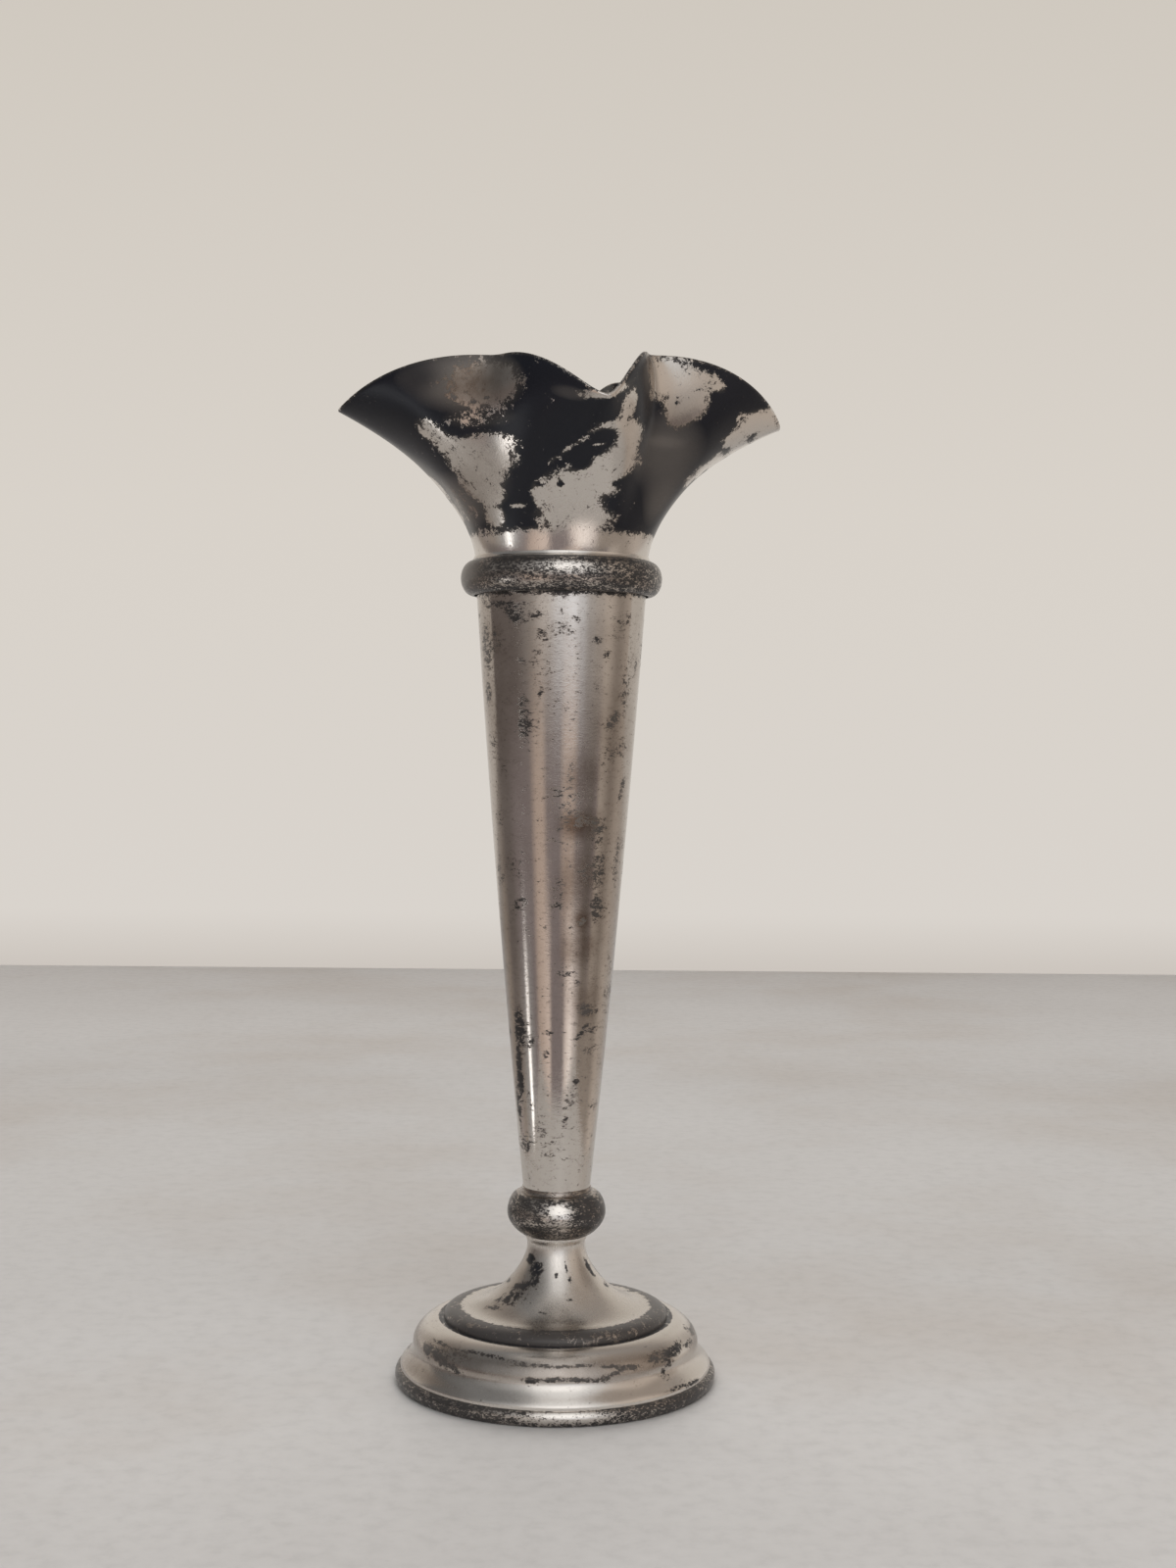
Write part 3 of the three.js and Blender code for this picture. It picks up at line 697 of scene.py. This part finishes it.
lay_film(knop, "bloom", np.where(cove, 0.6, 0.45), [(5, 35.2, 3, 2, 0, 0)], edge=0.8)
fit_to_vase(knop, "knop")


# Tube: the body of the vase, a long taper of sheet with a slight swell, seamed and drawn over a mandrel.
# It sits on the knop and holds the water.
tube_length = 121.2 * mm
tube_top_radius = 17.05 * mm
tube_swell = 0.55 * mm
tube_rings = 288
tube_steps = 240
inner_ring_step = 8
mouth_level = tube_level + tube_length


def tube_radius(share):
    """Outer radius at a share of the length, 0 at the knop and 1 at the mouth."""
    taper = tube_foot_radius + share * (tube_top_radius - tube_foot_radius)
    return taper + 4 * tube_swell * share * (1 - share)


shares = np.linspace(0, 1, tube_rings + 1)
outer = [(tube_radius(share), tube_level + share * tube_length) for share in shares]
inner = [(radius - tube_wall, height) for radius, height in outer[::inner_ring_step]]
tube_plate = silver_plate("tube_plate", flake=1.6, ragged=1.8, dust=0.5, lie=2, polish=0.09, ripple=0.5)
tube = turned_piece("tube_taper", outer + inner[::-1] + [outer[0]], tube_steps, tube_plate)
points, _, _, turn = points_of(tube)
collar_shade_height = 156
# the tarnish rises just under the collar: partly film in the joint, partly painted shade under the collar
film_and_shade_under_collar = np.clip((points[:, 2] - collar_shade_height) * 1.6, -1.3, 0.4)
scatter = np.random.default_rng(4)
fleck_count = 120
flecked = [(scatter.uniform(-180, 180), scatter.uniform(42, 154), scatter.uniform(0.8, 2.6),
            scatter.uniform(0.8, 3), scatter.uniform(-40, 40), scatter.uniform(-0.8, -0.3))
           for _ in range(fleck_count)]
lay_film(tube, "tarnish", film_and_shade_under_collar, flecked + [
    # specks in a drift under the collar
    (-42, 154, 7, 1.1, -6, 0.1),
    (-31, 151.8, 2.4, 1.5, -20, 0.15),
    (-17, 151.8, 2, 0.9, 0, -0.05),
    (-12, 148, 1.5, 1.1, -30, -0.05),
    (12, 151, 0.7, 0.6, 0, 0.15),
    (27, 147.2, 1, 0.8, 0, 0),
    (34, 144.6, 1.1, 0.8, 30, 0.05),
    # mottling and ripples down the left side
    (-64, 146, 2.4, 5, 0, -0.05),
    (-66, 137, 1.5, 2, 0, 0.1),
    (-29, 143, 0.9, 0.7, 0, 0),
    (-27, 132, 1.4, 5, 0, -0.1),
    (-14, 137, 0.5, 1.1, -20, 0.15),
    # dashes and combed rubs down the right side
    (43, 131.6, 1.5, 2.4, -40, -0.1),
    (61, 118.4, 0.8, 2.6, -18, 0.25),
    (17, 112.4, 2.4, 1.4, 0, 0),
    (34, 110, 2.2, 2.5, 0, 0),
    (37, 103, 1.9, 4, 0, 0.05),
    (39, 95.5, 1.9, 3, 0, 0.1),
    (26, 102, 1.5, 1.8, 0, 0),
    (23, 92.5, 1, 0.8, 0, 0.1),
    (62, 104, 1, 5, 0, -0.2),
    (55, 138, 2, 5, 0, -0.3),
    # the dark patch low on the left, and small marks near the knop
    (-50, 70.8, 1.8, 4.5, 0, 0.5),
    (-56, 62, 1.2, 6, 0, 0.5),
    (-64, 56, 1, 4, 0, 0.4),
    (-33, 69, 0.9, 1.4, 0, 0),
    (36, 75, 2.2, 1.4, 0, 0.1),
    (29, 70.5, 0.5, 2.2, -40, 0.15),
    (-14, 66.2, 0.7, 0.6, 0, 0.35),
    (-11, 70.4, 1, 0.5, 0, 0.15),
    (24, 60.7, 0.8, 0.7, 0, 0.05),
    (12, 53, 0.6, 1.8, 0, -0.05),
    (-49, 47.5, 0.8, 0.8, 0, 0.05),
    # the far side, in the same manner
    (110, 150, 6, 1.4, -8, 0.15),
    (125, 138, 2.5, 5, 0, -0.05),
    (150, 121, 2, 4, 0, -0.15),
    (172, 104, 2.5, 3, 0, -0.05),
    (196, 147, 5, 2, 10, 0.1),
    (215, 128, 1.8, 6, 0, -0.1),
    (238, 112, 2.2, 3, 0, 0.05),
    (255, 92, 1.5, 5, 0, -0.05),
    (140, 84, 2, 4, 0, 0.05),
    (190, 70, 1.8, 5, 0, 0.25),
    (228, 58, 1.4, 4, 0, 0.15),
    (120, 60, 1.2, 5, 0, 0.2),
])
# brown haze over the tube, partly painted shade: it thickens away from the front towards the sides and back,
# and thins near the knop
haze_and_side_shade = np.clip(0.25 + np.abs(turn) / 400, 0, 0.55) * np.clip((points[:, 2] - 40) / 25, 0.3, 1)
lay_film(tube, "bloom", haze_and_side_shade, [
    # brown haze down the left side and the right
    (-62, 140, 8, 16, 0, 0.6),
    (30, 100, 5, 16, 0, 0.5),
    (56, 118, 5, 20, 0, 0.55),
    (18, 121, 3, 4, 0, 0.7),
    (18, 112, 3.6, 2.6, 0, 0.9),
    (18, 101, 3, 4.5, 0, 0.7),
    (23, 93, 1.6, 2, 0, 0.9),
    (21, 87, 3, 3, 0, 0.8),
    (33, 77, 3, 5, 0, 0.65),
    (40, 131, 4, 6, 0, 0.6),
    (8, 154, 9, 3, 0, 0.1),
], edge=0.8)
fit_to_vase(tube, "tube")


# Collar: a half-round ring of thick silver-plated wire, soldered over the joint of the tube and the mouth.
# A small fillet of solder runs from its top up the mouth's neck.
collar_thickness = 2.65 * mm
collar_height = 6.8 * mm
collar_lip = 0.25 * mm
fillet_rise = 0.9 * mm
fillet_angle = 76
collar_steps = 224
bore = tube_top_radius + fit_gap
half = collar_height / 2
outline = [(bore, mouth_level - half)]
outline += arc((bore + collar_lip, mouth_level), collar_thickness - collar_lip, half, -90, fillet_angle, 40)
collar_top = mouth_level + half
outline += curve([outline[-1], (bore + collar_lip, collar_top), (bore, collar_top + fillet_rise)], 8)
outline += [(bore, mouth_level - half)]
collar_plate = silver_plate("collar_plate", flake=1.2, ragged=1.8, dust=0.9, lie=2.2)
collar = turned_piece("collar_ring", outline, collar_steps, collar_plate)
points, _, _, _ = points_of(collar)
collar_middle, collar_half, fillet_foot = 159.8, 3.4, 163.25
dark_edges = 0.05 + 0.9 * np.abs((points[:, 2] - collar_middle) / collar_half) ** 4
fillet = points[:, 2] > fillet_foot
lay_film(collar, "tarnish", np.where(fillet, -2, dark_edges), [
    (5, 161.3, 6, 0.9, 0, -0.6),
    (-16, 158, 4, 0.8, 0, -0.4),
    (32, 159.5, 6, 2.4, 0, 0.3),
    (-68, 160, 5, 3, 0, 0.9),
    (62, 160, 6, 3, 0, 0.4),
])
lay_film(collar, "bloom", np.where(fillet, 0, 0.4), [
    (-68, 160, 6, 3, 0, 0.9),
    (5, 161.3, 7, 1.2, 0, 0.05),
], edge=0.8)
fit_to_vase(collar, "collar")


# Mouth: sheet spun as a trumpet and then worked by hand over a stake into four out-turned lobes,
# with a drawn-in pinch between each two. Its sleeve is soldered into the top of the tube.
mouth_wall = 0.8 * mm
sleeve_length = 7 * mm
neck_rise = 3.2 * mm
flare_start_out = 1.2 * mm
flare_start_up = 12 * mm
lobe_bend_out = 12 * mm
lobe_bend_up = 21.2 * mm
pinch_bend_out = 6.5 * mm
pinch_bend_up = 23.4 * mm
lip_crown = 0.25 * mm
lip_start = 0.992
rim_wave_ratio = 0.97
neck_wave_ratio = 0.1
rim_drop_power = 2.4
# each lobe and pinch of the rim: its turn in degrees, its reach from the axis and its rise in millimetres
rim_places = [
    ("lobe", -81.9, 44.6, 28.9),
    ("pinch", -28, 26.4, 37.3),
    ("lobe", 13.9, 36.5, 27.8),
    ("pinch", 44.9, 23.9, 38.7),
    ("lobe", 99.3, 44.5, 27.8),
    ("pinch", 148, 21.5, 39.2),
    ("lobe", 191, 36.2, 27),
    ("pinch", 233, 24, 38),
]
flare_level = mouth_level + neck_rise
mouth_steps = 480
flare_steps = 64


def rim_at(turn, up):
    """Reach and rise of the rim at each turn, and how far it is from pinch (0) to lobe (1).
    The lobes run into each other in sharp folds at the rim and in soft waves near the neck."""
    first = rim_places[0][1]
    turns = np.array([place[1] for place in rim_places] + [first + 360])
    wrapped = first + (turn - first) % 360
    index = np.clip(np.searchsorted(turns, wrapped, side="right") - 1, 0, len(rim_places) - 1)
    following = (index + 1) % len(rim_places)
    share = (wrapped - turns[index]) / (turns[index + 1] - turns[index])
    is_lobe = np.array([place[0] == "lobe" for place in rim_places])[index]
    lobe = np.where(is_lobe, index, following)
    pinch = np.where(is_lobe, following, index)
    away = np.where(is_lobe, share, 1 - share)
    reach = np.array([place[2] for place in rim_places]) * mm
    rise = np.array([place[3] for place in rim_places]) * mm
    ratio = neck_wave_ratio + (rim_wave_ratio - neck_wave_ratio) * up ** 3
    wave = np.arcsin(ratio * np.cos(math.pi * away)) / np.arcsin(ratio)
    lobe_share = np.clip((1 + wave) / 2, 0, 1)
    return (reach[pinch] + lobe_share * (reach[lobe] - reach[pinch]),
            rise[pinch] + lobe_share ** rim_drop_power * (rise[lobe] - rise[pinch]), lobe_share)


def flare_points(turn, up):
    """Points on the flare's outer face: up is 0 at the neck and 1 at the rim."""
    reach, rise, lobe_share = rim_at(turn, up)
    bend_out = (1 - lobe_share) * (reach + pinch_bend_out) + lobe_share * (tube_top_radius + lobe_bend_out)
    bend_up = (1 - lobe_share) * pinch_bend_up + lobe_share * lobe_bend_up
    weights = ((1 - up) ** 3, 3 * up * (1 - up) ** 2, 3 * up ** 2 * (1 - up), up ** 3)
    radii = (tube_top_radius, tube_top_radius + flare_start_out, bend_out, reach)
    heights = (0, flare_start_up, bend_up, rise)
    radius = sum(weight * value for weight, value in zip(weights, radii))
    height = flare_level + sum(weight * value for weight, value in zip(weights, heights))
    angle = np.radians(turn)
    return np.stack([radius * np.sin(angle), -radius * np.cos(angle), height + 0 * angle], -1)


def flare_normals(turn, up):
    """The flare's outward normals, from points a little to each side."""
    around = flare_points(turn + 0.2, up) - flare_points(turn - 0.2, up)
    along = flare_points(turn, min(up + 0.005, 1)) - flare_points(turn, max(up - 0.005, 0))
    normal = np.cross(around, along)
    return normal / np.linalg.norm(normal, axis=1)[:, None]


def plain_ring(turn, radius, height):
    """A level circle of points."""
    angle = np.radians(turn)
    return np.stack([radius * np.sin(angle), -radius * np.cos(angle), height + 0 * angle], -1)


turn = np.arange(mouth_steps) * 360 / mouth_steps
sleeve_outer = tube_radius(1 - sleeve_length / tube_length) - tube_wall - fit_gap
sleeve_inner = sleeve_outer - mouth_wall
sleeve_foot = mouth_level - sleeve_length
rings = [plain_ring(turn, tube_top_radius, mouth_level + share * neck_rise) for share in (0, 0.33, 0.67)]
rings += [flare_points(turn, up) for up in np.linspace(0, lip_start, flare_steps + 1)]
outer_rings = len(rings)
rim = flare_points(turn, lip_start)
rim_normal = flare_normals(turn, lip_start)
onward = rim - flare_points(turn, lip_start - 0.03)
onward /= np.linalg.norm(onward, axis=1)[:, None]
for angle in np.radians([30, 60, 90, 120, 150]):
    inward = rim_normal * (math.cos(angle) - 1) * mouth_wall / 2
    rings.append(rim + inward + onward * math.sin(angle) * lip_crown)
lip_rings = len(rings)
for up in np.linspace(lip_start, 0, flare_steps // 2 + 1):
    rings.append(flare_points(turn, up) - flare_normals(turn, up) * mouth_wall)
rings += [plain_ring(turn, sleeve_inner, mouth_level), plain_ring(turn, sleeve_inner, sleeve_foot),
          plain_ring(turn, sleeve_outer, sleeve_foot), plain_ring(turn, sleeve_outer, mouth_level)]
faces = []
for ring in range(len(rings)):
    above = (ring + 1) % len(rings) * mouth_steps
    below = ring * mouth_steps
    for step in range(mouth_steps):
        after = (step + 1) % mouth_steps
        faces.append((below + step, below + after, above + after, above + step))
mesh = bpy.data.meshes.new("mouth_flare")
mesh.from_pydata(np.concatenate(rings).tolist(), [], faces)
mouth_plate = silver_plate("mouth_plate", flake=1.8, ragged=2.4, dust=0.7, ripple=1.0)
mesh.materials.append(mouth_plate)
mesh.shade_smooth()
mesh.set_sharp_from_angle(angle=sharp_edge)
mouth = bpy.data.objects.new("mouth_flare", mesh)
bpy.context.scene.collection.objects.link(mouth)
outside = np.arange(len(mesh.vertices)) < lip_rings * mouth_steps
points, _, _, _ = points_of(mouth)
film_foot, rim_film, inner_film = 168, 0.3, 0.5
closed_film = np.clip((points[:, 2] - film_foot) / 0.5, -2.2, 2)
rim_edge = outside & (np.arange(len(mesh.vertices)) >= (outer_rings - 1) * mouth_steps)
closed_film[rim_edge] = rim_film
lay_film(mouth, "tarnish", np.where(outside, closed_film, inner_film), [
    # high on the left wall, worn under a brown haze, which is partly a painted brown-grey reflection
    (-31, 194.6, 7.6, 4.6, 0, -2),
    (-44, 193.6, 0.5, 0.5, 0, 1.5),
    (-42, 192, 0.7, 0.6, 0, 1.5),
    (-35, 191.5, 0.6, 0.5, 0, 1.5),
    (-30, 191.6, 0.5, 0.4, 0, 1.5),
    # below it a broad tongue of bare silver, scratched at its upper edge and rippled at its left
    (-33, 188, 7.5, 1.8, 0, 0.2),
    (-54, 186.3, 3.4, 2.2, -35, -0.7),
    (-49, 183.4, 4.6, 2.4, -35, -1.4),
    (-47, 180, 3.6, 2.4, -25, -1.3),
    (-48, 176.5, 3, 2.4, -20, -0.9),
    (-32, 183.8, 6.3, 2, 0, -1.6),
    (-33, 181, 5.7, 2.4, 0, -1.8),
    (-38, 178, 4.5, 2.5, 0, -1.8),
    (-40, 174.5, 3.6, 2.2, 0, -1.7),
    (-41, 170.8, 2.6, 2.4, 0, -1.6),
    (-24, 172.4, 1.6, 0.5, 0, -1.3),
    (-66, 173, 6, 5, 0, 0.35),
    (-49, 168.2, 4.5, 1, 0, 0.3),
    # the front, bare from the collar up to a ragged edge, with a branch up its right side
    (10, 170, 7, 2.6, 0, -2),
    (6, 174.6, 5.8, 5, 0, -2),
    (-8, 174.6, 2.2, 2.6, 0, -2),
    (18, 176.6, 4.6, 4.4, 0, -2),
    (26, 180.7, 4.6, 3, 0, -2),
    (28, 184.9, 3.8, 3, 0, -2),
    (20, 186.4, 3.6, 1, 10, -1.8),
    (24, 190, 2.2, 3, 0, -1.8),
    # a worn streak up to the right, and under it a dark island with small ones beside it
    (-2, 180.4, 1.5, 0.6, 25, -0.6),
    (3, 182, 1.5, 0.5, 35, -0.6),
    (8, 183.6, 1.7, 0.5, 35, -0.6),
    (13, 185.2, 1.7, 0.7, 25, -1.3),
    (16, 184, 2.5, 1.7, 0, 2),
    (12, 182, 3, 1.8, 25, 2),
    (8, 179.9, 1.8, 1.5, 0, 2),
    (1, 179.8, 2, 0.8, 10, 1.7),
    (15, 182.9, 1.2, 0.3, 10, -1.3),
    (0, 176.3, 0.8, 0.7, 0, 1.7),
    (-10, 175.8, 1.2, 0.5, -20, 1.5),
    # islands of film at the right of the front
    (31, 176.4, 2.8, 1, 8, 1.3),
    (34, 172.8, 4.2, 1.4, -12, 1.5),
    (48, 170.3, 2.8, 1, -25, 1.5),
    (57, 169, 2.2, 1, 0, 1.2),
    (38, 180.3, 1.4, 1.6, 0, 0.5),
    # the rubbed wall right of the crease, and the bare tip of the right lobe
    (48, 197, 4.6, 4, 0, -2.2),
    (57, 195.6, 4.6, 4, 0, -2.2),
    (55.5, 191, 3.4, 3.2, 0, -2.2),
    (60, 193, 3.4, 3, 0, -2.2),
    (66, 197.2, 3, 1.4, -20, -1.6),
    (42, 193.2, 3, 1, 0, -0.4),
    (62, 195.7, 0.7, 0.5, 30, 1.7),
    (54, 192.7, 0.4, 0.6, 0, 1.5),
    (88, 191.5, 5.5, 2.2, 10, -2),
    (85, 188.6, 5, 1, 25, -1.8),
    (80, 191.3, 1.5, 1.2, 0, -0.2),
    (87, 189.6, 5, 1.8, 15, -2),
    (86, 187.4, 3.4, 1.4, 25, -1.8),
    (98, 189.5, 6, 3, 0, -2),
    (96, 186.5, 5.5, 2.6, 0, -2),
    (91, 183.5, 4.5, 2.4, 0, -1.9),
    (84, 181, 3.6, 2, 0, -1.7),
    (78, 178.8, 2.6, 1.6, 0, -1.2),
    # the worn lip in the hollow of the front, and a brown smear beside it
    (13, 190.7, 4.6, 0.8, 0, -1.7),
    (7, 191, 1.4, 0.8, -15, -0.1),
    # the far side in the same manner: a tongue up the right wall
    (118, 170.5, 6, 3, 0, -2),
    (124, 175, 5, 4, 10, -2),
    (132, 180, 4.5, 3.5, 15, -2),
    (139, 185, 4, 3.5, 20, -1.9),
    (150, 188, 3, 3, 0, -1.4),
    (163, 193, 4, 3, 0, -1.6),
    (126, 177, 1.2, 0.8, 20, 1.6),
    (134, 182.5, 0.8, 0.6, 0, 1.5),
    # the middle, bare from the collar up
    (178, 170.5, 8, 3, 0, -2),
    (184, 174.5, 6.5, 4, 0, -2),
    (192, 178, 4.5, 3.5, 0, -2),
    (199, 181.5, 4, 2.6, 25, -1.9),
    (206, 185, 3.2, 2, 30, -1.6),
    (174, 180, 3, 0.7, 20, -0.9),
    (186, 176.5, 1.6, 1, 15, 1.8),
    (195, 179.8, 1, 0.7, 0, 1.6),
    # and a bow down the left wall
    (243, 194.5, 6, 3.6, 0, -2),
    (251, 192, 4.5, 3.4, -10, -2),
    (258, 188, 4, 3, -20, -1.8),
    (264, 183.5, 4.4, 3, -25, -1.7),
    (268, 178, 4.5, 3.4, 0, -1.9),
    (262, 172.5, 5, 3.6, 0, -2),
    (250, 170, 6, 2.4, 0, -1.8),
    (255, 190, 0.9, 0.7, 0, 1.6),
    (261, 186, 3, 1.1, 20, 1.4),
    (268, 181, 2.4, 0.9, -10, 1.4),
    (266, 175.5, 1.2, 0.8, 20, 1.6),
], outside)
lay_film(mouth, "bloom", np.where(outside, 0.1, 0.4), [
    # thin brown film high on the left wall, in the front and low on the right wall; high on the left wall and
    # low on the right wall it is partly a painted brown-grey reflection
    (-38, 195.3, 10, 5.4, 0, 0.9),
    (-54, 195.8, 5, 2.4, 0, 0.45),
    (-36, 178, 7, 8, 0, 0.45),
    (-66, 174, 7, 6, 0, 0.9),
    (3, 191.6, 4.8, 1.6, -15, 0.52),
    (55, 183, 9, 8, 0, 0.68),
    (52, 185.2, 3.4, 1, 0, 0.82),
    (62, 175, 4, 6, 0, 0.7),
    (27, 190.5, 2.4, 4.5, 0, 0.3),
    (124, 195, 9, 4, 0, 0.85),
    (152, 181, 7, 3.5, -20, 0.5),
    (206, 191, 7, 2, -10, 0.5),
    (228, 182, 8, 3.5, 25, 0.5),
    (262, 180, 8, 8, 0, 0.35),
], outside, edge=0.8)
fit_to_vase(mouth, "mouth")
